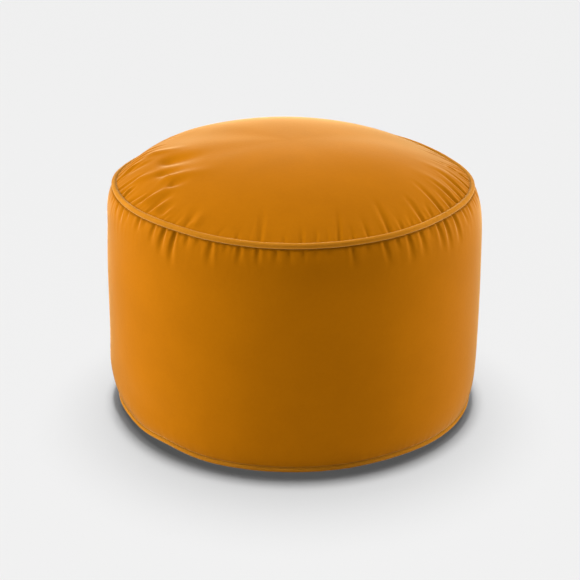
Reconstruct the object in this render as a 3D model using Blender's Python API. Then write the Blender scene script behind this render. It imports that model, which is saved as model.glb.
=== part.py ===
"""Round velvet floor pouf, 0.50 m across: a filled top panel and side band, sewn to each other and to a base cloth,
with a corded piping in each of the two seams. Metres, +Z up, the floor at z = 0 and the origin under the middle."""

import bmesh
import bpy
import math
import random
from collections import namedtuple

# Driving sizes
WALL_RADIUS = 0.2500          # the side band at its fullest
TOP_SEAM_RADIUS = 0.2336      # middle of the upper piping
BOTTOM_SEAM_RADIUS = 0.2394   # middle of the lower piping
BOTTOM_SEAM_HEIGHT = 0.0090
BAND_HEIGHT = 0.3030          # from one piping to the other
TOP_SEAM_HEIGHT = BOTTOM_SEAM_HEIGHT + BAND_HEIGHT
CROWN_RISE = 0.0536           # the filled crown above its seam
CROWN_POWER = 2.8             # 2 is a bowl, more is flatter in the middle and steeper at the seam
TOP_TUCK = 0.021              # how far down the wall the upper seam draws it in
BOTTOM_TUCK = 0.020
CONTACT_RADIUS = 0.2160       # the flat that rests on the floor
BASE_THICKNESS = 0.0025
BASE_CURL = 1.7               # how late the base cloth lifts towards its seam

PIPING_RADIUS = 0.0035
GAP = 0.0003                  # kept between neighbouring pieces
COVE_RADIUS = PIPING_RADIUS + GAP

# Resolution
COLUMNS = 144                 # round each panel
PIPING_POINTS = 96
COLUMN_TURN = 360.0 / COLUMNS

# Radii of the rings of points across the crown, and heights of those on the wall, measured from its nearer seam
CROWN_RINGS = (0.060, 0.110, 0.145, 0.168, 0.185, 0.198, 0.208, 0.216, 0.2225, 0.2275)
WALL_RINGS_BELOW_TOP = (0.006, 0.0095, 0.014, 0.020, 0.029, 0.042, 0.064, 0.110)
WALL_RINGS_ABOVE_BOTTOM = (0.110, 0.055, 0.026, 0.012, 0.006)
BASE_RING_SHARE = 0.5         # between the flat and the lower seam

# A sewn ring is not quite flat or round. Degrees round from +X, seen from above, with the front at 270.
Wave = namedtuple("Wave", "angle spread rise outward")
TOP_SEAM_WAVES = (
    Wave(angle=270, spread=26, rise=-0.0030, outward=0.0),
    Wave(angle=228, spread=12, rise=0.0015, outward=-0.0015),
    Wave(angle=324, spread=12, rise=0.0015, outward=-0.0015),
    Wave(angle=184, spread=12, rise=0.0015, outward=0.0025),
    Wave(angle=156, spread=13, rise=-0.0040, outward=0.0),
    Wave(angle=22, spread=18, rise=-0.0055, outward=-0.0010),
)
BOTTOM_SEAM_WAVES = (
    Wave(angle=204, spread=9, rise=0.0030, outward=-0.0020),
    Wave(angle=226, spread=8, rise=0.0055, outward=0.0),
    Wave(angle=270, spread=26, rise=0.0016, outward=0.0),
    Wave(angle=302, spread=11, rise=0.0020, outward=0.0),
)
WAVE_REACH = 0.060            # how far up or down the wall a wave of the seam is felt

# Where the filling lies uneven. On the crown the place is a radius, on the wall a height above the floor.
Lump = namedtuple("Lump", "angle place turn_spread place_spread size")
CROWN_LUMPS = (
    Lump(angle=130, place=0.165, turn_spread=38, place_spread=0.060, size=0.0034),
    Lump(angle=158, place=0.207, turn_spread=22, place_spread=0.024, size=0.0125),
    Lump(angle=40, place=0.165, turn_spread=34, place_spread=0.060, size=-0.0024),
    Lump(angle=215, place=0.160, turn_spread=9, place_spread=0.045, size=0.0035),
    Lump(angle=196, place=0.138, turn_spread=8, place_spread=0.035, size=-0.0035),
)
WALL_LUMPS = (
    Lump(angle=214, place=0.045, turn_spread=14, place_spread=0.025, size=-0.0030),
    Lump(angle=184, place=0.045, turn_spread=12, place_spread=0.030, size=0.0035),
    Lump(angle=188, place=0.270, turn_spread=22, place_spread=0.035, size=-0.0030),
)

# Creases that the seam gathers into the cloth. Each starts at a seam, drifts round, and fades out after its reach.
Crease = namedtuple("Crease", "angle drift reach depth")
CROWN_CREASES = (
    Crease(angle=167, drift=-8, reach=0.060, depth=0.0020),
    Crease(angle=176, drift=-6, reach=0.075, depth=0.0025),
    Crease(angle=184, drift=-3, reach=0.090, depth=0.0030),
    Crease(angle=192, drift=2, reach=0.095, depth=0.0030),
    Crease(angle=200, drift=9, reach=0.085, depth=0.0030),
    Crease(angle=208, drift=5, reach=0.055, depth=0.0025),
    Crease(angle=217, drift=2, reach=0.040, depth=0.0025),
    Crease(angle=224, drift=2, reach=0.032, depth=0.0020),
    Crease(angle=231, drift=2, reach=0.030, depth=0.0020),
    Crease(angle=238, drift=0, reach=0.028, depth=0.0018),
    Crease(angle=260, drift=-2, reach=0.055, depth=0.0012),
    Crease(angle=273, drift=1, reach=0.030, depth=0.0018),
    Crease(angle=283, drift=3, reach=0.055, depth=0.0020),
    Crease(angle=292, drift=1, reach=0.036, depth=0.0018),
    Crease(angle=300, drift=3, reach=0.052, depth=0.0020),
    Crease(angle=313, drift=3, reach=0.042, depth=0.0018),
    Crease(angle=323, drift=4, reach=0.055, depth=0.0022),
    Crease(angle=333, drift=3, reach=0.046, depth=0.0020),
    Crease(angle=342, drift=7, reach=0.045, depth=0.0020),
    Crease(angle=354, drift=9, reach=0.038, depth=0.0018),
)
WALL_CREASES = (
    Crease(angle=192, drift=0, reach=0.016, depth=0.0015),
    Crease(angle=202, drift=1, reach=0.020, depth=0.0018),
    Crease(angle=208, drift=1, reach=0.020, depth=0.0018),
    Crease(angle=215, drift=1, reach=0.020, depth=0.0020),
    Crease(angle=223, drift=0, reach=0.028, depth=0.0024),
    Crease(angle=228, drift=0, reach=0.036, depth=0.0028),
    Crease(angle=233, drift=0, reach=0.040, depth=0.0028),
    Crease(angle=245, drift=0, reach=0.030, depth=0.0020),
    Crease(angle=255, drift=0, reach=0.024, depth=0.0018),
    Crease(angle=267, drift=0, reach=0.024, depth=0.0018),
    Crease(angle=277, drift=0, reach=0.022, depth=0.0016),
    Crease(angle=287, drift=0, reach=0.030, depth=0.0020),
    Crease(angle=296, drift=1, reach=0.036, depth=0.0018),
    Crease(angle=305, drift=0, reach=0.036, depth=0.0022),
    Crease(angle=310, drift=0, reach=0.034, depth=0.0020),
    Crease(angle=318, drift=0, reach=0.036, depth=0.0022),
    Crease(angle=323, drift=0, reach=0.040, depth=0.0022),
    Crease(angle=328, drift=0, reach=0.038, depth=0.0022),
    Crease(angle=335, drift=1, reach=0.026, depth=0.0018),
    Crease(angle=345, drift=1, reach=0.020, depth=0.0015),
)
CREASE_SPREAD = 0.0070        # half the width of a crease's valley, a little under one column at the seam
CREASE_START = 0.0080         # a crease is at its deepest this far from the seam

# The far half, from the right round the back to the left, is gathered in the same way by rule
FAR_HALF_START = 2.0
FAR_HALF_END = 160.0
FAR_CROWN_STEP = 9.5          # degrees from one crease to the next
FAR_WALL_STEP = 8.5
FAR_SEED = 11

# Where the clothes leave the piping, as angles round its middle, with 0 outwards and 90 up
CROWN_LEAVES = 147.0
SEAM_ANGLE = math.degrees(math.asin(0.5 * GAP / COVE_RADIUS))
WALL_LEAVES_TOP = 262.0
WALL_LEAVES_BOTTOM = 98.0
BASE_LEAVES = 220.0
COVE_STEPS = 2


def degrees_apart(first, second):
    """Signed turn from the second angle to the first, between -180 and 180."""
    return (first - second + 180.0) % 360.0 - 180.0


def bell(distance, spread):
    """1 at the middle of a bump, falling smoothly to nothing."""
    return math.exp(-0.5 * (distance / spread) ** 2)


def ease(share):
    """0 to 1 with a level start and end."""
    share = min(max(share, 0.0), 1.0)
    return share * share * (3.0 - 2.0 * share)


def seam_offset(waves, angle):
    """How far a sewn ring rises and stands out at an angle."""
    weights = [bell(degrees_apart(angle, wave.angle), wave.spread) for wave in waves]
    rise = sum(weight * wave.rise for weight, wave in zip(weights, waves))
    outward = sum(weight * wave.outward for weight, wave in zip(weights, waves))
    return rise, outward


def lump_size(lumps, angle, place):
    """The uneven filling at an angle and a radius or height."""
    return sum(
        lump.size * bell(degrees_apart(angle, lump.angle), lump.turn_spread)
        * bell(place - lump.place, lump.place_spread)
        for lump in lumps
    )


def crease_depth(creases, angle, from_seam):
    """The hollow of the creases at an angle and a distance from the seam, with a low ridge each side of a valley."""
    total = 0.0
    for crease in creases:
        share = from_seam / crease.reach
        if share >= 1.0:
            continue
        middle = COLUMN_TURN * round((crease.angle + crease.drift * share) / COLUMN_TURN)
        across = math.radians(degrees_apart(angle, middle)) * TOP_SEAM_RADIUS / CREASE_SPREAD
        strength = ease(from_seam / CREASE_START) * (1.0 - share) ** 0.8
        total += crease.depth * strength * (1.0 - across ** 2) * math.exp(-0.5 * across ** 2)
    return total


def far_creases(step, reaches, depths, seed):
    """Creases of the far half, evenly set out and then shifted a little."""
    shuffle = random.Random(seed)
    rows = []
    angle = FAR_HALF_START
    while angle < FAR_HALF_END:
        rows.append(Crease(
            angle=angle + shuffle.uniform(-0.25, 0.25) * step,
            drift=shuffle.uniform(-4.0, 4.0),
            reach=shuffle.uniform(*reaches),
            depth=shuffle.uniform(*depths),
        ))
        angle += step
    return tuple(rows)


ALL_CROWN_CREASES = CROWN_CREASES + far_creases(FAR_CROWN_STEP, (0.030, 0.060), (0.0016, 0.0024), FAR_SEED)
ALL_WALL_CREASES = WALL_CREASES + far_creases(FAR_WALL_STEP, (0.018, 0.036), (0.0014, 0.0022), FAR_SEED + 1)


def crown_height(radius):
    """Height of the smooth crown above the floor."""
    return TOP_SEAM_HEIGHT + CROWN_RISE * (1.0 - (radius / TOP_SEAM_RADIUS) ** CROWN_POWER)


def wall_radius(height):
    """Radius of the smooth wall, which each seam draws in."""
    drawn_by_top = (WALL_RADIUS - TOP_SEAM_RADIUS) * math.exp((height - TOP_SEAM_HEIGHT) / TOP_TUCK)
    drawn_by_bottom = (WALL_RADIUS - BOTTOM_SEAM_RADIUS) * math.exp((BOTTOM_SEAM_HEIGHT - height) / BOTTOM_TUCK)
    return WALL_RADIUS - drawn_by_top - drawn_by_bottom


def cove(seam_radius, seam_height, start, end):
    """The hollow that a cloth follows round the piping, as (radius, height) points."""
    points = []
    for step in range(COVE_STEPS + 1):
        angle = math.radians(start + (end - start) * step / COVE_STEPS)
        points.append((seam_radius + COVE_RADIUS * math.cos(angle), seam_height + COVE_RADIUS * math.sin(angle)))
    return points


def base_curl(seat, rim, share):
    """A point on the base cloth between the edge of its flat, the seat, and its rim, both (radius, height)."""
    return seat[0] + (rim[0] - seat[0]) * share, seat[1] + (rim[1] - seat[1]) * share ** BASE_CURL


def settle(radius, angle, height):
    """Moves a point of the true turned shape with the waves of the two seams."""
    top_rise, top_outward = seam_offset(TOP_SEAM_WAVES, angle)
    bottom_rise, bottom_outward = seam_offset(BOTTOM_SEAM_WAVES, angle)
    near_top = math.exp(-max(TOP_SEAM_HEIGHT - height - COVE_RADIUS, 0.0) / WAVE_REACH)
    near_bottom = math.exp(-max(height - BOTTOM_SEAM_HEIGHT - COVE_RADIUS, 0.0) / WAVE_REACH)
    top_share = near_top * ease(radius / TOP_SEAM_RADIUS)
    bottom_share = near_bottom * ease((radius - CONTACT_RADIUS) / (BOTTOM_SEAM_RADIUS - CONTACT_RADIUS))
    radius += top_share * top_outward + bottom_share * bottom_outward
    height += top_share * top_rise + bottom_share * bottom_rise
    return radius, height


def shape_crown(radius, angle, height):
    """The outer face of the top panel: uneven filling and the creases from its seam."""
    if height <= TOP_SEAM_HEIGHT + COVE_RADIUS * math.sin(math.radians(CROWN_LEAVES)) + 1e-6:
        return radius, height
    held = 1.0 - (radius / TOP_SEAM_RADIUS) ** 6
    height += held * lump_size(CROWN_LUMPS, angle, radius)
    height -= crease_depth(ALL_CROWN_CREASES, angle, TOP_SEAM_RADIUS - radius)
    return radius, height


def shape_wall(radius, angle, height):
    """The outer face of the side band: uneven filling and the creases under its upper seam."""
    below = TOP_SEAM_HEIGHT - height
    above = height - BOTTOM_SEAM_HEIGHT
    if below <= COVE_RADIUS or above <= COVE_RADIUS:
        return radius, height
    held = ease(below / WAVE_REACH) * ease(above / WAVE_REACH)
    radius += held * lump_size(WALL_LUMPS, angle, height)
    radius -= crease_depth(ALL_WALL_CREASES, angle, below)
    return radius, height


def leave_alone(radius, angle, height):
    """The base cloth has no creases of its own."""
    return radius, height


def cloth(name, colour, roughness, sheen):
    """A pile or woven cloth."""
    material = bpy.data.materials.new(name)
    material.use_nodes = True
    shader = material.node_tree.nodes["Principled BSDF"]
    shader.inputs["Base Color"].default_value = (*colour, 1.0)
    shader.inputs["Roughness"].default_value = roughness
    shader.inputs["Metallic"].default_value = 0.0
    shader.inputs["Sheen Weight"].default_value = sheen
    material.diffuse_color = (*colour, 1.0)
    return material


def turned_piece(name, outline, shaping, material):
    """Spins an outline of (radius, height) points, from the axis and back to it, and then lays the cloth's shape
    on the turned solid."""
    mesh = bmesh.new()
    points = [mesh.verts.new((radius, 0.0, height)) for radius, height in outline]
    edges = [mesh.edges.new(pair) for pair in zip(points, points[1:])]
    bmesh.ops.spin(
        mesh, geom=points + edges, cent=(0.0, 0.0, 0.0), axis=(0.0, 0.0, 1.0),
        angle=2.0 * math.pi, steps=COLUMNS, use_merge=True,
    )
    bmesh.ops.remove_doubles(mesh, verts=mesh.verts[:], dist=0.00001)
    for point in mesh.verts:
        turn = math.atan2(point.co.y, point.co.x)
        angle = math.degrees(turn) % 360.0
        radius, height = shaping(math.hypot(point.co.x, point.co.y), angle, point.co.z)
        radius, height = settle(radius, angle, height)
        point.co = (radius * math.cos(turn), radius * math.sin(turn), height)
    bmesh.ops.recalc_face_normals(mesh, faces=mesh.faces[:])
    data = bpy.data.meshes.new(name)
    mesh.to_mesh(data)
    mesh.free()
    data.shade_smooth()
    data.set_sharp_from_angle(angle=math.radians(50.0))
    data.materials.append(material)
    piece = bpy.data.objects.new(name, data)
    bpy.context.scene.collection.objects.link(piece)
    return piece


def piping(name, seam_radius, seam_height, material):
    """A closed ring of corded piping that follows its seam."""
    data = bpy.data.curves.new(name, "CURVE")
    data.dimensions = "3D"
    data.bevel_depth = PIPING_RADIUS
    data.bevel_resolution = 2
    ring = data.splines.new("POLY")
    ring.points.add(PIPING_POINTS - 1)
    for step, point in enumerate(ring.points):
        turn = 2.0 * math.pi * step / PIPING_POINTS
        radius, height = settle(seam_radius, math.degrees(turn), seam_height)
        point.co = (radius * math.cos(turn), radius * math.sin(turn), height, 1.0)
    ring.use_cyclic_u = True
    ring.use_smooth = True
    data.materials.append(material)
    piece = bpy.data.objects.new(name, data)
    bpy.context.scene.collection.objects.link(piece)
    return piece


def top_panel_outline():
    """From the middle of the crown out to the seam, and back along the flat seam plane."""
    crown = [(0.0, crown_height(0.0))] + [(radius, crown_height(radius)) for radius in CROWN_RINGS]
    rim = cove(TOP_SEAM_RADIUS, TOP_SEAM_HEIGHT, CROWN_LEAVES, 180.0 - SEAM_ANGLE)
    return crown + rim + [(0.0, rim[-1][1])]


def side_band_outline():
    """From the upper seam plane down the wall, in to the lower seam and back over the base cloth."""
    heights = [TOP_SEAM_HEIGHT - below for below in WALL_RINGS_BELOW_TOP]
    heights += [BOTTOM_SEAM_HEIGHT + above for above in WALL_RINGS_ABOVE_BOTTOM]
    wall = [(wall_radius(height), height) for height in heights]
    upper_rim = cove(TOP_SEAM_RADIUS, TOP_SEAM_HEIGHT, 180.0 + SEAM_ANGLE, WALL_LEAVES_TOP)
    lower_rim = cove(BOTTOM_SEAM_RADIUS, BOTTOM_SEAM_HEIGHT, WALL_LEAVES_BOTTOM, 180.0 - SEAM_ANGLE)
    seat = (CONTACT_RADIUS, BASE_THICKNESS + GAP)
    underside = [base_curl(seat, lower_rim[-1], BASE_RING_SHARE), seat, (0.0, seat[1])]
    return [(0.0, upper_rim[0][1])] + upper_rim + wall + lower_rim + underside


def base_panel_outline():
    """From the middle of its inner face out to the lower seam, and back under, flat where it rests."""
    rim = cove(BOTTOM_SEAM_RADIUS, BOTTOM_SEAM_HEIGHT, 180.0 + SEAM_ANGLE, BASE_LEAVES)
    inner_seat = (CONTACT_RADIUS, BASE_THICKNESS)
    outer_seat = (CONTACT_RADIUS, 0.0)
    inner = [(0.0, BASE_THICKNESS), inner_seat, base_curl(inner_seat, rim[0], BASE_RING_SHARE)]
    outer = [base_curl(outer_seat, rim[-1], BASE_RING_SHARE), outer_seat, (0.0, 0.0)]
    return inner + rim + outer


def build_pouf():
    """Makes the five sewn pieces."""
    for old in list(bpy.data.objects):
        bpy.data.objects.remove(old)
    velvet = cloth("marigold velvet", (0.42, 0.17, 0.012), roughness=0.8, sheen=0.8)
    piping_velvet = cloth("marigold piping velvet", (0.50, 0.21, 0.02), roughness=0.75, sheen=0.8)
    base_cloth = cloth("black base cloth", (0.012, 0.012, 0.013), roughness=0.9, sheen=0.1)
    turned_piece("top_panel", top_panel_outline(), shape_crown, velvet)
    turned_piece("side_band", side_band_outline(), shape_wall, velvet)
    turned_piece("base_panel", base_panel_outline(), leave_alone, base_cloth)
    piping("top_piping", TOP_SEAM_RADIUS, TOP_SEAM_HEIGHT, piping_velvet)
    piping("bottom_piping", BOTTOM_SEAM_RADIUS, BOTTOM_SEAM_HEIGHT, piping_velvet)


build_pouf()
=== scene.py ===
"""Looks of a round velvet floor pouf: marigold velvet over a soft filling, gathered into two piped seams,
on a black base cloth. The turned shape and the waves of its seams are the ones the solids have, made finer.
The creases were set again by the photo and are drawn in deeper than in the solids."""

import math
import random
from collections import namedtuple
from functools import lru_cache

import bmesh
import bpy
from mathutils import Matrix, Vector, noise


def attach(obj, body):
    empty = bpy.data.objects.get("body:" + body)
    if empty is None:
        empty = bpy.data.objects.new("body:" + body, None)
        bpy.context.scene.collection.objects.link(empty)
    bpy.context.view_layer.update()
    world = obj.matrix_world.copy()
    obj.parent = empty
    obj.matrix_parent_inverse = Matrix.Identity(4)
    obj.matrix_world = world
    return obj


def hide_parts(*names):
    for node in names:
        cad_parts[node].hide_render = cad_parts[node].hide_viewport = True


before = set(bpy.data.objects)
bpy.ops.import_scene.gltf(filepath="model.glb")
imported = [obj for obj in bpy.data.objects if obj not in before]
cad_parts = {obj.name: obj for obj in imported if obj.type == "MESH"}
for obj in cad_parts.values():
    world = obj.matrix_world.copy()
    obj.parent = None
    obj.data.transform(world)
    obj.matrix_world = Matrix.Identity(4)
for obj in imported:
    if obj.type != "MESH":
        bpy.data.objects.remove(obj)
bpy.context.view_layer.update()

# Sizes of the sewn pouf, in metres
WALL_RADIUS = 0.2500
TOP_SEAM_RADIUS = 0.2336
BOTTOM_SEAM_RADIUS = 0.2394
BOTTOM_SEAM_HEIGHT = 0.0090
TOP_SEAM_HEIGHT = 0.3120
CROWN_RISE = 0.0536
CROWN_POWER = 2.8
TOP_TUCK = 0.021
BOTTOM_TUCK = 0.020
CONTACT_RADIUS = 0.2160
BASE_THICKNESS = 0.0025
BASE_CURL = 1.7
PIPING_RADIUS = 0.0035
GAP = 0.0003
COVE_RADIUS = PIPING_RADIUS + GAP

# How finely the cloth is made
CLOTH_COLUMNS = 900
BASE_COLUMNS = 360
PIPING_COLUMNS = 1200
PIPING_SIDES = 20
WEDGES = 30                   # each ring is made as so many like wedges
SEAM_STEP = 0.0009            # between rings of points next to a seam
SEAM_STEP_GROWTH = 1.075      # each ring further from the seam is this much wider
WIDEST_STEP = 0.0065
COVE_STEPS = 5

# Waves of the two sewn rings, in degrees round from +X seen from above, with the front at 270
Wave = namedtuple("Wave", "angle spread rise outward")
TOP_SEAM_WAVES = (
    Wave(angle=270, spread=26, rise=-0.0030, outward=0.0),
    Wave(angle=228, spread=12, rise=0.0015, outward=-0.0015),
    Wave(angle=324, spread=12, rise=0.0015, outward=-0.0015),
    Wave(angle=184, spread=12, rise=0.0015, outward=0.0025),
    Wave(angle=156, spread=13, rise=-0.0040, outward=0.0),
    Wave(angle=22, spread=18, rise=-0.0055, outward=-0.0010),
)
BOTTOM_SEAM_WAVES = (
    Wave(angle=204, spread=9, rise=0.0030, outward=-0.0020),
    Wave(angle=226, spread=8, rise=0.0055, outward=0.0),
    Wave(angle=270, spread=26, rise=0.0016, outward=0.0),
    Wave(angle=302, spread=11, rise=0.0020, outward=0.0),
)
WAVE_REACH = 0.060

# Where the filling lies uneven. On the crown the place is a radius, on the wall a height above the floor.
Lump = namedtuple("Lump", "angle place turn_spread place_spread size")
CROWN_LUMPS = (
    Lump(angle=130, place=0.165, turn_spread=38, place_spread=0.060, size=0.0034),
    Lump(angle=158, place=0.207, turn_spread=22, place_spread=0.024, size=0.0125),
    Lump(angle=40, place=0.165, turn_spread=34, place_spread=0.060, size=-0.0024),
    Lump(angle=215, place=0.160, turn_spread=9, place_spread=0.045, size=0.0020),
)
WALL_LUMPS = (
    Lump(angle=214, place=0.045, turn_spread=14, place_spread=0.025, size=-0.0030),
    Lump(angle=184, place=0.045, turn_spread=12, place_spread=0.030, size=0.0035),
    Lump(angle=188, place=0.270, turn_spread=22, place_spread=0.035, size=-0.0030),
)

# Gathers at the seams. Each starts at the seam, drifts round by so many degrees, and fades out after its
# reach.
Crease = namedtuple("Crease", "angle drift reach depth width")
CROWN_CREASES = (
    Crease(angle=157.0, drift=-7, reach=0.050, depth=0.0010, width=0.0032),
    Crease(angle=162.0, drift=-8, reach=0.055, depth=0.0012, width=0.0034),
    Crease(angle=167.5, drift=-7, reach=0.048, depth=0.0012, width=0.0032),
    Crease(angle=172.5, drift=-6, reach=0.060, depth=0.0014, width=0.0034),
    Crease(angle=177.0, drift=-4, reach=0.052, depth=0.0014, width=0.0032),
    Crease(angle=181.5, drift=-4, reach=0.044, depth=0.0012, width=0.0030),
    Crease(angle=186.0, drift=-4, reach=0.048, depth=0.0014, width=0.0032),
    Crease(angle=193.5, drift=1, reach=0.040, depth=0.0012, width=0.0030),
    Crease(angle=197.0, drift=1, reach=0.030, depth=0.0012, width=0.0028),
    Crease(angle=200.5, drift=-2, reach=0.028, depth=0.0013, width=0.0028),
    Crease(angle=205.0, drift=3, reach=0.030, depth=0.0008, width=0.0030),
    Crease(angle=209.0, drift=1, reach=0.030, depth=0.0008, width=0.0030),
    Crease(angle=216.5, drift=2, reach=0.026, depth=0.0007, width=0.0030),
    Crease(angle=225.0, drift=1, reach=0.020, depth=0.0006, width=0.0028),
    Crease(angle=230.0, drift=1, reach=0.020, depth=0.0006, width=0.0030),
    Crease(angle=234.5, drift=0, reach=0.024, depth=0.0007, width=0.0032),
    Crease(angle=246.0, drift=1, reach=0.018, depth=0.0007, width=0.0030),
    Crease(angle=253.0, drift=-1, reach=0.016, depth=0.0006, width=0.0030),
    Crease(angle=260.0, drift=-2, reach=0.055, depth=0.0008, width=0.0040),
    Crease(angle=267.0, drift=0, reach=0.018, depth=0.0006, width=0.0030),
    Crease(angle=272.0, drift=0, reach=0.026, depth=0.0011, width=0.0030),
    Crease(angle=276.0, drift=1, reach=0.024, depth=0.0009, width=0.0028),
    Crease(angle=279.5, drift=1, reach=0.024, depth=0.0008, width=0.0028),
    Crease(angle=283.0, drift=3, reach=0.052, depth=0.0014, width=0.0036),
    Crease(angle=287.5, drift=1, reach=0.028, depth=0.0010, width=0.0030),
    Crease(angle=292.5, drift=1, reach=0.036, depth=0.0012, width=0.0034),
    Crease(angle=299.5, drift=3, reach=0.056, depth=0.0016, width=0.0040),
    Crease(angle=304.0, drift=2, reach=0.026, depth=0.0010, width=0.0030),
    Crease(angle=308.0, drift=2, reach=0.022, depth=0.0009, width=0.0030),
    Crease(angle=313.0, drift=3, reach=0.046, depth=0.0015, width=0.0036),
    Crease(angle=317.0, drift=4, reach=0.028, depth=0.0010, width=0.0030),
    Crease(angle=323.0, drift=5, reach=0.058, depth=0.0016, width=0.0038),
    Crease(angle=328.0, drift=4, reach=0.034, depth=0.0012, width=0.0032),
    Crease(angle=333.0, drift=4, reach=0.052, depth=0.0016, width=0.0036),
    Crease(angle=337.5, drift=6, reach=0.040, depth=0.0013, width=0.0032),
    Crease(angle=342.0, drift=8, reach=0.050, depth=0.0016, width=0.0034),
    Crease(angle=348.5, drift=8, reach=0.040, depth=0.0014, width=0.0032),
    Crease(angle=356.0, drift=10, reach=0.042, depth=0.0014, width=0.0034),
)
WALL_CREASES = (
    Crease(angle=194.0, drift=0, reach=0.014, depth=0.0010, width=0.0028),
    Crease(angle=200.0, drift=1, reach=0.020, depth=0.0013, width=0.0028),
    Crease(angle=204.5, drift=1, reach=0.022, depth=0.0014, width=0.0028),
    Crease(angle=208.5, drift=1, reach=0.018, depth=0.0010, width=0.0026),
    Crease(angle=215.5, drift=1, reach=0.022, depth=0.0016, width=0.0032),
    Crease(angle=219.0, drift=0, reach=0.014, depth=0.0008, width=0.0026),
    Crease(angle=223.5, drift=0, reach=0.028, depth=0.0016, width=0.0032),
    Crease(angle=228.0, drift=0, reach=0.036, depth=0.0022, width=0.0036),
    Crease(angle=232.2, drift=0, reach=0.044, depth=0.0026, width=0.0034),
    Crease(angle=237.0, drift=0, reach=0.018, depth=0.0010, width=0.0028),
    Crease(angle=241.0, drift=0, reach=0.014, depth=0.0006, width=0.0026),
    Crease(angle=245.2, drift=0, reach=0.032, depth=0.0016, width=0.0032),
    Crease(angle=250.0, drift=0, reach=0.014, depth=0.0006, width=0.0026),
    Crease(angle=254.2, drift=0, reach=0.026, depth=0.0013, width=0.0030),
    Crease(angle=259.5, drift=0, reach=0.024, depth=0.0012, width=0.0030),
    Crease(angle=264.8, drift=0, reach=0.020, depth=0.0010, width=0.0028),
    Crease(angle=268.5, drift=0, reach=0.024, depth=0.0012, width=0.0030),
    Crease(angle=272.5, drift=0, reach=0.022, depth=0.0010, width=0.0028),
    Crease(angle=276.0, drift=0, reach=0.018, depth=0.0009, width=0.0028),
    Crease(angle=279.5, drift=0, reach=0.020, depth=0.0009, width=0.0028),
    Crease(angle=286.8, drift=0, reach=0.032, depth=0.0014, width=0.0034),
    Crease(angle=291.0, drift=0, reach=0.016, depth=0.0007, width=0.0028),
    Crease(angle=296.5, drift=1, reach=0.036, depth=0.0012, width=0.0034),
    Crease(angle=301.0, drift=0, reach=0.018, depth=0.0009, width=0.0028),
    Crease(angle=305.3, drift=0, reach=0.038, depth=0.0017, width=0.0034),
    Crease(angle=310.0, drift=0, reach=0.034, depth=0.0015, width=0.0032),
    Crease(angle=314.0, drift=0, reach=0.018, depth=0.0009, width=0.0028),
    Crease(angle=317.8, drift=0, reach=0.036, depth=0.0016, width=0.0032),
    Crease(angle=321.5, drift=0, reach=0.042, depth=0.0018, width=0.0032),
    Crease(angle=327.0, drift=0, reach=0.040, depth=0.0018, width=0.0034),
    Crease(angle=333.0, drift=1, reach=0.026, depth=0.0013, width=0.0030),
    Crease(angle=338.3, drift=0, reach=0.020, depth=0.0012, width=0.0030),
    Crease(angle=345.0, drift=0, reach=0.018, depth=0.0010, width=0.0028),
    Crease(angle=352.0, drift=0, reach=0.018, depth=0.0010, width=0.0028),
)
CREASE_START = 0.0060         # a gather is at its deepest this far from the seam
FAR_HALF_START = 2.0          # the far half, which the front hides, is gathered by rule from here
FAR_HALF_END = 154.0
FAR_CROWN_STEP = 5.2
FAR_WALL_STEP = 4.6
FAR_CROWN_REACHES = (0.024, 0.060)
FAR_WALL_REACHES = (0.014, 0.038)
FAR_CROWN_DEPTHS = (0.0005, 0.0010)
FAR_WALL_DEPTHS = (0.0008, 0.0018)
FAR_SEED = 11
CREASE_CUTOFF = 4.5           # a crease isn't felt further off than this many of its widths

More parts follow.
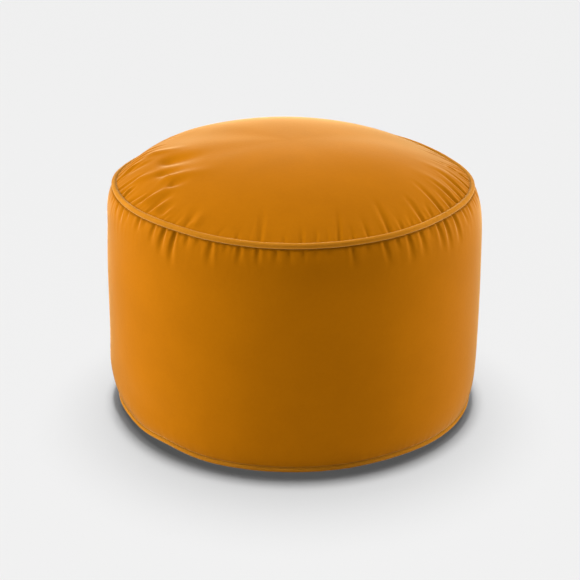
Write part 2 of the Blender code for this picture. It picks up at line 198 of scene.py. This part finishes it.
# Soft folds across the crown, on the plan seen from above, from the seam through a middle point to where each
# ends. A ridge has a height above zero and a trough one below.
Fold = namedtuple("Fold", "start middle end height width")
CROWN_FOLDS = (
    Fold(start=(-0.198, 0.006), middle=(-0.166, 0.005), end=(-0.134, -0.003), height=0.0030, width=0.0065),
    Fold(start=(-0.176, -0.029), middle=(-0.144, -0.036), end=(-0.106, -0.049), height=-0.0062, width=0.0095),
    Fold(start=(-0.226, -0.007), middle=(-0.200, -0.010), end=(-0.177, -0.006), height=0.0022, width=0.0045),
    Fold(start=(-0.221, -0.023), middle=(-0.197, -0.019), end=(-0.177, -0.022), height=-0.0022, width=0.0045),
    Fold(start=(-0.218, -0.075), middle=(-0.203, -0.066), end=(-0.183, -0.069), height=0.0016, width=0.0040),
    Fold(start=(-0.207, -0.055), middle=(-0.183, -0.058), end=(-0.158, -0.053), height=0.0024, width=0.0050),
    Fold(start=(-0.178, -0.066), middle=(-0.158, -0.068), end=(-0.136, -0.081), height=-0.0034, width=0.0048),
    Fold(start=(-0.173, -0.080), middle=(-0.140, -0.088), end=(-0.088, -0.095), height=0.0038, width=0.0060),
    Fold(start=(-0.160, -0.100), middle=(-0.146, -0.104), end=(-0.128, -0.108), height=-0.0034, width=0.0052),
    Fold(start=(-0.196, -0.112), middle=(-0.178, -0.106), end=(-0.158, -0.100), height=-0.0020, width=0.0040),
    Fold(start=(-0.194, -0.121), middle=(-0.166, -0.112), end=(-0.118, -0.117), height=0.0036, width=0.0052),
    Fold(start=(-0.184, -0.136), middle=(-0.162, -0.126), end=(-0.143, -0.120), height=-0.0024, width=0.0042),
    Fold(start=(-0.178, -0.144), middle=(-0.163, -0.136), end=(-0.143, -0.128), height=0.0022, width=0.0038),
    Fold(start=(-0.168, -0.156), middle=(-0.156, -0.147), end=(-0.144, -0.144), height=-0.0018, width=0.0038),
    Fold(start=(-0.160, -0.162), middle=(-0.152, -0.152), end=(-0.142, -0.147), height=0.0014, width=0.0036),
    Fold(start=(-0.130, -0.186), middle=(-0.122, -0.172), end=(-0.112, -0.158), height=-0.0012, width=0.0045),
    Fold(start=(-0.123, -0.191), middle=(-0.116, -0.179), end=(-0.104, -0.163), height=0.0016, width=0.0045),
    Fold(start=(0.205, -0.098), middle=(0.178, -0.074), end=(0.140, -0.056), height=0.0022, width=0.0060),
    Fold(start=(0.222, -0.052), middle=(0.192, -0.030), end=(0.150, -0.016), height=0.0022, width=0.0060),
)
FOLD_POINTS = 18              # along each fold

# Camera of the photograph
CAMERA_DISTANCE = 2.1024
CAMERA_ELEVATION = math.radians(23.27)
CAMERA_AIM = Vector((-0.0056, 0.0, 0.1524))
CAMERA_LENS = 96.09
SENSOR_WIDTH = 36.0

# Where each cloth leaves the piping, as angles round its middle, with 0 outwards and 90 up
CROWN_LEAVES = 147.0
SEAM_ANGLE = math.degrees(math.asin(0.5 * GAP / COVE_RADIUS))
WALL_LEAVES_TOP = 262.0
WALL_LEAVES_BOTTOM = 98.0
BASE_LEAVES = 220.0


def degrees_apart(first, second):
    """Signed turn from the second angle to the first, between -180 and 180."""
    return (first - second + 180.0) % 360.0 - 180.0


def bell(distance, spread):
    """1 at the middle of a bump, falling smoothly to nothing."""
    return math.exp(-0.5 * (distance / spread) ** 2)


def ease(share):
    """0 to 1 with a level start and end."""
    share = min(max(share, 0.0), 1.0)
    return share * share * (3.0 - 2.0 * share)


@lru_cache(maxsize=None)
def seam_offset(waves, angle):
    """How far a sewn ring rises and stands out at an angle."""
    weights = [bell(degrees_apart(angle, wave.angle), wave.spread) for wave in waves]
    rise = sum(weight * wave.rise for weight, wave in zip(weights, waves))
    outward = sum(weight * wave.outward for weight, wave in zip(weights, waves))
    return rise, outward


def lump_size(lumps, angle, place):
    """The uneven filling at an angle and a radius or height."""
    return sum(
        lump.size * bell(degrees_apart(angle, lump.angle), lump.turn_spread)
        * bell(place - lump.place, lump.place_spread)
        for lump in lumps
    )


def crease_depth(creases, angle, from_seam):
    """The hollow of the gathers at an angle and a distance from the seam. Each valley widens as it runs out,
    and the cloth it takes in stands up as a low ridge on both sides."""
    total = 0.0
    for crease in creases:
        share = from_seam / crease.reach
        if share >= 1.0:
            continue
        middle = crease.angle + crease.drift * share
        width = crease.width * (0.75 + 0.7 * share)
        across = math.radians(degrees_apart(angle, middle)) * TOP_SEAM_RADIUS / width
        if abs(across) > CREASE_CUTOFF:
            continue
        strength = ease(from_seam / CREASE_START) * (1.0 - share) ** 0.9
        total += crease.depth * strength * (1.0 - 0.7 * across ** 2) * math.exp(-0.5 * across ** 2)
    return total


def far_creases(step, reaches, depths, seed):
    """Gathers of the far half, evenly set out and then shifted a little."""
    shuffle = random.Random(seed)
    rows = []
    angle = FAR_HALF_START
    while angle < FAR_HALF_END:
        rows.append(Crease(
            angle=angle + shuffle.uniform(-0.3, 0.3) * step,
            drift=shuffle.uniform(-4.0, 4.0),
            reach=shuffle.uniform(*reaches),
            depth=shuffle.uniform(*depths),
            width=shuffle.uniform(0.0028, 0.0038),
        ))
        angle += step
    return tuple(rows)


ALL_CROWN_CREASES = CROWN_CREASES + far_creases(
    FAR_CROWN_STEP, FAR_CROWN_REACHES, FAR_CROWN_DEPTHS, FAR_SEED,
)
ALL_WALL_CREASES = WALL_CREASES + far_creases(
    FAR_WALL_STEP, FAR_WALL_REACHES, FAR_WALL_DEPTHS, FAR_SEED + 1,
)


def fold_line(fold):
    """Points along a fold, on one smooth bend through its three places, each with its share of the way."""
    start, middle, end = (Vector(place) for place in (fold.start, fold.middle, fold.end))
    pull = 2.0 * middle - 0.5 * (start + end)
    line = []
    for step in range(FOLD_POINTS + 1):
        share = step / FOLD_POINTS
        place = (1.0 - share) ** 2 * start + 2.0 * share * (1.0 - share) * pull + share ** 2 * end
        line.append((place.x, place.y))
    return line


FOLD_LINES = tuple((fold, fold_line(fold)) for fold in CROWN_FOLDS)


def nearest_on_line(line, x, y):
    """Distance from a place to a fold's line, and the share of the way along it."""
    best = (1e9, 0.0)
    for step in range(FOLD_POINTS):
        (ax, ay), (bx, by) = line[step], line[step + 1]
        run_x, run_y = bx - ax, by - ay
        along = ((x - ax) * run_x + (y - ay) * run_y) / (run_x ** 2 + run_y ** 2)
        along = min(max(along, 0.0), 1.0)
        distance = math.hypot(x - ax - along * run_x, y - ay - along * run_y)
        if distance < best[0]:
            best = (distance, (step + along) / FOLD_POINTS)
    return best


def fold_height(x, y):
    """The soft folds of the crown at a place on the plan."""
    total = 0.0
    for fold, line in FOLD_LINES:
        reach = 4.0 * fold.width
        low_x = min(point[0] for point in (line[0], line[FOLD_POINTS // 2], line[-1])) - reach
        high_x = max(point[0] for point in (line[0], line[FOLD_POINTS // 2], line[-1])) + reach
        if not low_x < x < high_x:
            continue
        distance, share = nearest_on_line(line, x, y)
        if distance > reach:
            continue
        width = fold.width * (0.8 + 0.5 * share)
        strength = ease((share + 0.03) / 0.30) * (1.0 - ease(share) ** 2)
        total += fold.height * strength * bell(distance, width)
    return total


def crown_height(radius):
    """Height of the smooth crown above the floor."""
    return TOP_SEAM_HEIGHT + CROWN_RISE * (1.0 - (radius / TOP_SEAM_RADIUS) ** CROWN_POWER)


def wall_radius(height):
    """Radius of the smooth wall, which each seam draws in."""
    drawn_by_top = (WALL_RADIUS - TOP_SEAM_RADIUS) * math.exp((height - TOP_SEAM_HEIGHT) / TOP_TUCK)
    above_bottom = BOTTOM_SEAM_HEIGHT - height
    drawn_by_bottom = (WALL_RADIUS - BOTTOM_SEAM_RADIUS) * math.exp(above_bottom / BOTTOM_TUCK)
    return WALL_RADIUS - drawn_by_top - drawn_by_bottom


def cove(seam_radius, seam_height, start, end):
    """The hollow that a cloth follows round the piping, as (radius, height) points."""
    points = []
    for step in range(COVE_STEPS + 1):
        angle = math.radians(start + (end - start) * step / COVE_STEPS)
        points.append((
            seam_radius + COVE_RADIUS * math.cos(angle),
            seam_height + COVE_RADIUS * math.sin(angle),
        ))
    return points


def base_curl(seat, rim, share):
    """A point on the base cloth between the edge of its flat, the seat, and its rim, as (radius, height)."""
    return seat[0] + (rim[0] - seat[0]) * share, seat[1] + (rim[1] - seat[1]) * share ** BASE_CURL


def distances_from_seam(first, last):
    """Distances of the rings of points from a seam, close together next to it."""
    distances = []
    distance = first
    step = SEAM_STEP
    while distance < last:
        distances.append(distance)
        distance += step
        step = min(step * SEAM_STEP_GROWTH, WIDEST_STEP)
    return distances


def settle(radius, angle, height):
    """Moves a point of the true turned shape with the waves of the two seams."""
    angle = round(angle, 3)
    top_rise, top_outward = seam_offset(TOP_SEAM_WAVES, angle)
    bottom_rise, bottom_outward = seam_offset(BOTTOM_SEAM_WAVES, angle)
    near_top = math.exp(-max(TOP_SEAM_HEIGHT - height - COVE_RADIUS, 0.0) / WAVE_REACH)
    near_bottom = math.exp(-max(height - BOTTOM_SEAM_HEIGHT - COVE_RADIUS, 0.0) / WAVE_REACH)
    top_share = near_top * ease(radius / TOP_SEAM_RADIUS)
    bottom_share = near_bottom * ease((radius - CONTACT_RADIUS) / (BOTTOM_SEAM_RADIUS - CONTACT_RADIUS))
    radius += top_share * top_outward + bottom_share * bottom_outward
    height += top_share * top_rise + bottom_share * bottom_rise
    return radius, height


def gather_ripple(turn, from_seam, seed):
    """The small uneven gathers between the creases, which run straight away from the seam."""
    where = Vector((38.0 * math.cos(turn), 38.0 * math.sin(turn), 22.0 * from_seam + seed))
    return noise.noise(where) * math.exp(-from_seam / RIPPLE_REACH) * ease(from_seam / RIPPLE_START)


def soft_unevenness(x, y, z, seed):
    """The slow give of the filling under the cloth."""
    return noise.noise(Vector((9.0 * x, 9.0 * y, 9.0 * z + seed)))


RIPPLE = 0.0010
RIPPLE_REACH = 0.016
RIPPLE_START = 0.004
UNEVENNESS = 0.0009
CROWN_GATHER = 2.0            # how much deeper the cloth is drawn in than the solids show
WALL_GATHER = 1.6


def shape_crown(radius, turn, height):
    """The outer face of the top panel: uneven filling, soft folds and the gathers from its seam."""
    if height <= TOP_SEAM_HEIGHT + COVE_RADIUS * math.sin(math.radians(CROWN_LEAVES)) + 1e-6:
        return radius, height
    angle = math.degrees(turn) % 360.0
    from_seam = TOP_SEAM_RADIUS - radius
    x, y = radius * math.cos(turn), radius * math.sin(turn)
    held = 1.0 - (radius / TOP_SEAM_RADIUS) ** 6
    height += held * lump_size(CROWN_LUMPS, angle, radius)
    height += held * UNEVENNESS * soft_unevenness(x, y, height, 3.0)
    height += ease((from_seam - 0.003) / 0.008) * fold_height(x, y)
    height -= CROWN_GATHER * crease_depth(ALL_CROWN_CREASES, angle, from_seam)
    height += RIPPLE * gather_ripple(turn, from_seam, 5.0)
    return radius, height


def shape_wall(radius, turn, height):
    """The outer face of the side band: uneven filling and the gathers under its upper seam."""
    below = TOP_SEAM_HEIGHT - height
    above = height - BOTTOM_SEAM_HEIGHT
    if below <= COVE_RADIUS or above <= COVE_RADIUS:
        return radius, height
    angle = math.degrees(turn) % 360.0
    held = ease(below / WAVE_REACH) * ease(above / WAVE_REACH)
    radius += held * lump_size(WALL_LUMPS, angle, height)
    x, y = radius * math.cos(turn), radius * math.sin(turn)
    radius += held * UNEVENNESS * soft_unevenness(x, y, height, 7.0)
    radius -= WALL_GATHER * crease_depth(ALL_WALL_CREASES, angle, below)
    radius += RIPPLE * gather_ripple(turn, below, 9.0)
    radius += 0.6 * RIPPLE * gather_ripple(turn, above, 13.0)
    return radius, height


def shape_base(radius, turn, height):
    """The base cloth is drawn into small gathers next to its seam, clear of the floor."""
    from_seam = BOTTOM_SEAM_RADIUS - radius
    if radius < CONTACT_RADIUS or from_seam < COVE_RADIUS:
        return radius, height
    lift = ease((radius - CONTACT_RADIUS) / 0.008)
    height += 0.3 * RIPPLE * lift * (1.0 + gather_ripple(turn, from_seam, 17.0))
    return radius, height


def finish_mesh(name, mesh, material):
    """Puts a bmesh into the scene as a smooth piece with its own material."""
    data = bpy.data.meshes.new(name)
    mesh.to_mesh(data)
    mesh.free()
    data.shade_smooth()
    data.set_sharp_from_angle(angle=math.radians(60.0))
    data.materials.append(material)
    piece = bpy.data.objects.new(name, data)
    bpy.context.scene.collection.objects.link(piece)
    return piece


def turn_round(mesh, columns):
    """Turns the outline in a mesh round the axis: one narrow wedge first, which is then repeated."""
    wedge = 2.0 * math.pi / WEDGES
    bmesh.ops.spin(
        mesh, geom=mesh.verts[:] + mesh.edges[:], cent=(0.0, 0.0, 0.0), axis=(0.0, 0.0, 1.0),
        angle=wedge, steps=columns // WEDGES,
    )
    bmesh.ops.spin(
        mesh, geom=mesh.verts[:] + mesh.edges[:] + mesh.faces[:], cent=(0.0, 0.0, 0.0), axis=(0.0, 0.0, 1.0),
        angle=2.0 * math.pi - wedge, steps=WEDGES - 1, use_duplicate=True,
    )
    bmesh.ops.remove_doubles(mesh, verts=mesh.verts[:], dist=0.00001)


def turned_cloth(name, outline, columns, shaping, material):
    """Turns an outline of (radius, height) points, from the axis and back to it, and lays the cloth's shape
    on it."""
    mesh = bmesh.new()
    points = [mesh.verts.new((radius, 0.0, height)) for radius, height in outline]
    for pair in zip(points, points[1:]):
        mesh.edges.new(pair)
    turn_round(mesh, columns)
    for point in mesh.verts:
        turn = math.atan2(point.co.y, point.co.x)
        radius, height = shaping(math.hypot(point.co.x, point.co.y), turn, point.co.z)
        radius, height = settle(radius, math.degrees(turn) % 360.0, height)
        point.co = (radius * math.cos(turn), radius * math.sin(turn), height)
    bmesh.ops.recalc_face_normals(mesh, faces=mesh.faces[:])
    return finish_mesh(name, mesh, material)


def corded_piping(name, seam_radius, seam_height, seed, material):
    """A ring of velvet sewn round a cord: nearly round, a little uneven in thickness and height."""
    mesh = bmesh.new()
    section = bmesh.ops.create_circle(mesh, segments=PIPING_SIDES, radius=PIPING_RADIUS)["verts"]
    for point in section:
        point.co = (seam_radius + point.co.x, 0.0, seam_height + point.co.y)
    turn_round(mesh, PIPING_COLUMNS)
    for point in mesh.verts:
        turn = math.atan2(point.co.y, point.co.x)
        radius = math.hypot(point.co.x, point.co.y)
        round_x, round_y = math.cos(turn), math.sin(turn)
        across = Vector((radius - seam_radius, point.co.z - seam_height))
        slow = noise.noise(Vector((26.0 * round_x, 26.0 * round_y, seed)))
        quick = noise.noise(Vector((90.0 * round_x, 90.0 * round_y, seed + across.x * 260.0)))
        across *= 1.0 + 0.035 * slow + 0.03 * quick
        wander = noise.noise(Vector((9.0 * round_x, 9.0 * round_y, seed + 4.0)))
        radius = seam_radius + across.x
        height = seam_height + across.y + 0.0002 * wander
        base_radius, base_height = settle(seam_radius, math.degrees(turn) % 360.0, seam_height)
        radius += base_radius - seam_radius
        height += base_height - seam_height
        point.co = (radius * round_x, radius * round_y, height)
    bmesh.ops.recalc_face_normals(mesh, faces=mesh.faces[:])
    return finish_mesh(name, mesh, material)


def top_panel_outline():
    """From the middle of the crown out to the seam, and back along the seam plane."""
    rim = cove(TOP_SEAM_RADIUS, TOP_SEAM_HEIGHT, CROWN_LEAVES, 180.0 - SEAM_ANGLE)
    distances = distances_from_seam(TOP_SEAM_RADIUS - rim[0][0] + SEAM_STEP, TOP_SEAM_RADIUS - WIDEST_STEP)
    crown = [(TOP_SEAM_RADIUS - distance, crown_height(TOP_SEAM_RADIUS - distance)) for distance in distances]
    return [(0.0, crown_height(0.0))] + crown[::-1] + rim + [(0.0, rim[-1][1])]


def side_band_outline():
    """From the upper seam plane down the wall, in to the lower seam and back over the base cloth."""
    middle = 0.5 * (TOP_SEAM_HEIGHT - BOTTOM_SEAM_HEIGHT)
    distances = distances_from_seam(COVE_RADIUS + SEAM_STEP, middle)
    upper = [TOP_SEAM_HEIGHT - distance for distance in distances]
    lower = [BOTTOM_SEAM_HEIGHT + distance for distance in distances[::-1]]
    wall = [(wall_radius(height), height) for height in upper + lower]
    upper_rim = cove(TOP_SEAM_RADIUS, TOP_SEAM_HEIGHT, 180.0 + SEAM_ANGLE, WALL_LEAVES_TOP)
    lower_rim = cove(BOTTOM_SEAM_RADIUS, BOTTOM_SEAM_HEIGHT, WALL_LEAVES_BOTTOM, 180.0 - SEAM_ANGLE)
    seat = (CONTACT_RADIUS, BASE_THICKNESS + GAP)
    underside = [base_curl(seat, lower_rim[-1], 0.5), seat, (0.0, seat[1])]
    return [(0.0, upper_rim[0][1])] + upper_rim + wall + lower_rim + underside


def base_panel_outline():
    """From the middle of its inner face out to the lower seam, and back under, flat where it rests."""
    rim = cove(BOTTOM_SEAM_RADIUS, BOTTOM_SEAM_HEIGHT, 180.0 + SEAM_ANGLE, BASE_LEAVES)
    inner_seat = (CONTACT_RADIUS, BASE_THICKNESS)
    outer_seat = (CONTACT_RADIUS, 0.0)
    shares = (0.15, 0.3, 0.45, 0.6, 0.75, 0.9)
    inner = [(0.0, BASE_THICKNESS), inner_seat] + [base_curl(inner_seat, rim[0], share) for share in shares]
    outer = [base_curl(outer_seat, rim[-1], share) for share in shares[::-1]] + [outer_seat, (0.0, 0.0)]
    return inner + rim + outer


def node_link(material, source, socket, target, target_socket):
    """Joins two nodes."""
    material.node_tree.links.new(source.outputs[socket], target.inputs[target_socket])


def velvet(name, deep, bright, sheen_tint, sheen_weight):
    """Short-pile velvet: a deep body colour that shifts with the lie of the pile, a fine nap, and a soft
    sheen."""
    material = bpy.data.materials.new(name)
    material.use_nodes = True
    nodes = material.node_tree.nodes
    shader = nodes["Principled BSDF"]
    shader.inputs["Roughness"].default_value = 0.75
    shader.inputs["Specular IOR Level"].default_value = 0.02
    shader.inputs["Sheen Weight"].default_value = sheen_weight
    shader.inputs["Sheen Roughness"].default_value = 0.29
    shader.inputs["Sheen Tint"].default_value = (*sheen_tint, 1.0)
    place = nodes.new("ShaderNodeTexCoord")

    lie = nodes.new("ShaderNodeTexNoise")
    lie.inputs["Scale"].default_value = 14.0
    lie.inputs["Detail"].default_value = 5.0
    lie.inputs["Roughness"].default_value = 0.55
    node_link(material, place, "Object", lie, "Vector")
    nap = nodes.new("ShaderNodeTexNoise")
    nap.inputs["Scale"].default_value = 260.0
    nap.inputs["Detail"].default_value = 5.0
    node_link(material, place, "Object", nap, "Vector")

    mixed = nodes.new("ShaderNodeMath")
    mixed.operation = "MULTIPLY_ADD"
    mixed.inputs[1].default_value = 0.35
    node_link(material, nap, "Fac", mixed, 0)
    node_link(material, lie, "Fac", mixed, 2)
    ramp = nodes.new("ShaderNodeValToRGB")
    ramp.color_ramp.elements[0].position = 0.35
    ramp.color_ramp.elements[0].color = (*deep, 1.0)
    ramp.color_ramp.elements[1].position = 1.0
    ramp.color_ramp.elements[1].color = (*bright, 1.0)
    node_link(material, mixed, "Value", ramp, "Fac")
    node_link(material, ramp, "Color", shader, "Base Color")

    pile = nodes.new("ShaderNodeBump")
    pile.inputs["Strength"].default_value = 0.25
    pile.inputs["Distance"].default_value = 0.0004
    node_link(material, nap, "Fac", pile, "Height")
    node_link(material, pile, "Normal", shader, "Normal")
    return material


def woven_base_cloth(name):
    """Matt black cloth with a plain weave."""
    material = bpy.data.materials.new(name)
    material.use_nodes = True
    nodes = material.node_tree.nodes
    shader = nodes["Principled BSDF"]
    shader.inputs["Roughness"].default_value = 0.9
    shader.inputs["Specular IOR Level"].default_value = 0.2
    place = nodes.new("ShaderNodeTexCoord")
    threads = []
    for direction in ("X", "Y"):
        thread = nodes.new("ShaderNodeTexWave")
        thread.bands_direction = direction
        thread.inputs["Scale"].default_value = 260.0
        thread.inputs["Distortion"].default_value = 0.4
        node_link(material, place, "Object", thread, "Vector")
        threads.append(thread)
    weave = nodes.new("ShaderNodeMath")
    weave.operation = "MULTIPLY"
    node_link(material, threads[0], "Fac", weave, 0)
    node_link(material, threads[1], "Fac", weave, 1)
    ramp = nodes.new("ShaderNodeValToRGB")
    ramp.color_ramp.elements[0].color = (0.006, 0.006, 0.007, 1.0)
    ramp.color_ramp.elements[1].color = (0.022, 0.021, 0.021, 1.0)
    node_link(material, weave, "Value", ramp, "Fac")
    node_link(material, ramp, "Color", shader, "Base Color")
    bump = nodes.new("ShaderNodeBump")
    bump.inputs["Strength"].default_value = 0.5
    bump.inputs["Distance"].default_value = 0.0003
    node_link(material, weave, "Value", bump, "Height")
    node_link(material, bump, "Normal", shader, "Normal")
    return material


def pale_floor():
    """A wide pale floor, which isn't part of the pouf."""
    mesh = bmesh.new()
    bmesh.ops.create_grid(mesh, x_segments=1, y_segments=1, size=8.0)
    material = bpy.data.materials.new("pale studio floor")
    material.use_nodes = True
    shader = material.node_tree.nodes["Principled BSDF"]
    shader.inputs["Base Color"].default_value = (0.83, 0.83, 0.83, 1.0)
    shader.inputs["Roughness"].default_value = 0.8
    shader.inputs["Specular IOR Level"].default_value = 0.1
    floor = finish_mesh("studio_floor", mesh, material)
    return floor


def sun(name, towards, strength, spread, lit=()):
    """A soft distant light that shines along a direction, on everything or only on the objects in lit, as if
    flags kept it off the rest."""
    data = bpy.data.lights.new(name, "SUN")
    data.energy = strength
    data.angle = math.radians(spread)
    light = bpy.data.objects.new(name, data)
    light.rotation_euler = Vector(towards).to_track_quat("-Z", "Y").to_euler()
    bpy.context.scene.collection.objects.link(light)
    if lit:
        reached = bpy.data.collections.new(name + " reaches")
        for thing in lit:
            reached.objects.link(thing)
        light.light_linking.receiver_collection = reached


def studio_light(pouf, floor):
    """Dim even surroundings. The pouf has a light overhead and low broad ones that graze it from both sides
    and from behind. The floor has a small and a broad one of its own from above."""
    scene = bpy.context.scene
    world = bpy.data.worlds.new("studio surroundings")
    world.use_nodes = True
    background = world.node_tree.nodes["Background"]
    background.inputs["Color"].default_value = (1.0, 1.0, 1.0, 1.0)
    background.inputs["Strength"].default_value = 0.07
    scene.world = world
    scene.view_settings.view_transform = "Standard"
    sun("overhead", (0.0, -0.26, -1.0), 1.80, 20.0, pouf)
    sun("left_side", (1.0, -0.05, -0.12), 5.3, 60.0, pouf)
    sun("right_side", (-1.0, -0.28, -0.12), 4.2, 60.0, pouf)
    sun("rear", (0.0, -1.0, -0.30), 0.3, 60.0, pouf)
    sun("floor_small", (0.0, -0.045, -1.0), 1.75, 7.0, [floor])
    sun("floor_broad", (0.0, -0.20, -1.0), 1.4, 40.0, [floor])


def place_camera():
    """The photograph's camera."""
    data = bpy.data.cameras.new("photo camera")
    data.lens = CAMERA_LENS
    data.sensor_width = SENSOR_WIDTH
    camera = bpy.data.objects.new("photo_camera", data)
    back = Vector((0.0, -math.cos(CAMERA_ELEVATION), math.sin(CAMERA_ELEVATION)))
    camera.location = CAMERA_AIM + CAMERA_DISTANCE * back
    camera.rotation_euler = (math.pi / 2.0 - CAMERA_ELEVATION, 0.0, 0.0)
    bpy.context.scene.collection.objects.link(camera)
    bpy.context.scene.camera = camera


def dress_pouf():
    """Makes the five sewn pieces, hangs each under the root body and hides the solid it stands for."""
    panel_velvet = velvet(
        "marigold velvet", (0.50, 0.158, 0.0004), (0.57, 0.182, 0.0007), (1.0, 0.66, 0.30), 1.0,
    )
    # The piping is the same marigold velvet as the panels, given a paler body colour and sheen tint: a
    # painted highlight for the light its round cord catches.
    piping_velvet_painted_highlight = velvet(
        "marigold piping velvet", (0.54, 0.195, 0.008), (0.66, 0.245, 0.015), (1.0, 0.68, 0.32), 1.0,
    )
    base_cloth = woven_base_cloth("black base cloth")

    top = turned_cloth("top_panel_velvet", top_panel_outline(), CLOTH_COLUMNS, shape_crown, panel_velvet)
    band = turned_cloth("side_band_velvet", side_band_outline(), CLOTH_COLUMNS, shape_wall, panel_velvet)
    base = turned_cloth("base_cloth", base_panel_outline(), BASE_COLUMNS, shape_base, base_cloth)
    upper = corded_piping("top_piping_cord", TOP_SEAM_RADIUS, TOP_SEAM_HEIGHT, 2.0, piping_velvet_painted_highlight)
    lower = corded_piping("bottom_piping_cord", BOTTOM_SEAM_RADIUS, BOTTOM_SEAM_HEIGHT, 6.0, piping_velvet_painted_highlight)

    pieces = (
        (top, "top_panel", "velvet"),
        (band, "side_band", "velvet"),
        (base, "base_panel", "base_cloth"),
        (upper, "top_piping", "piping"),
        (lower, "bottom_piping", "piping"),
    )
    for piece, node, slot in pieces:
        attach(piece, "root")
        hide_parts(node)
    for piece, node, slot in pieces:
        piece.visible_diffuse = False
    return [piece for piece, node, slot in pieces]


place_camera()
studio_light(dress_pouf(), pale_floor())
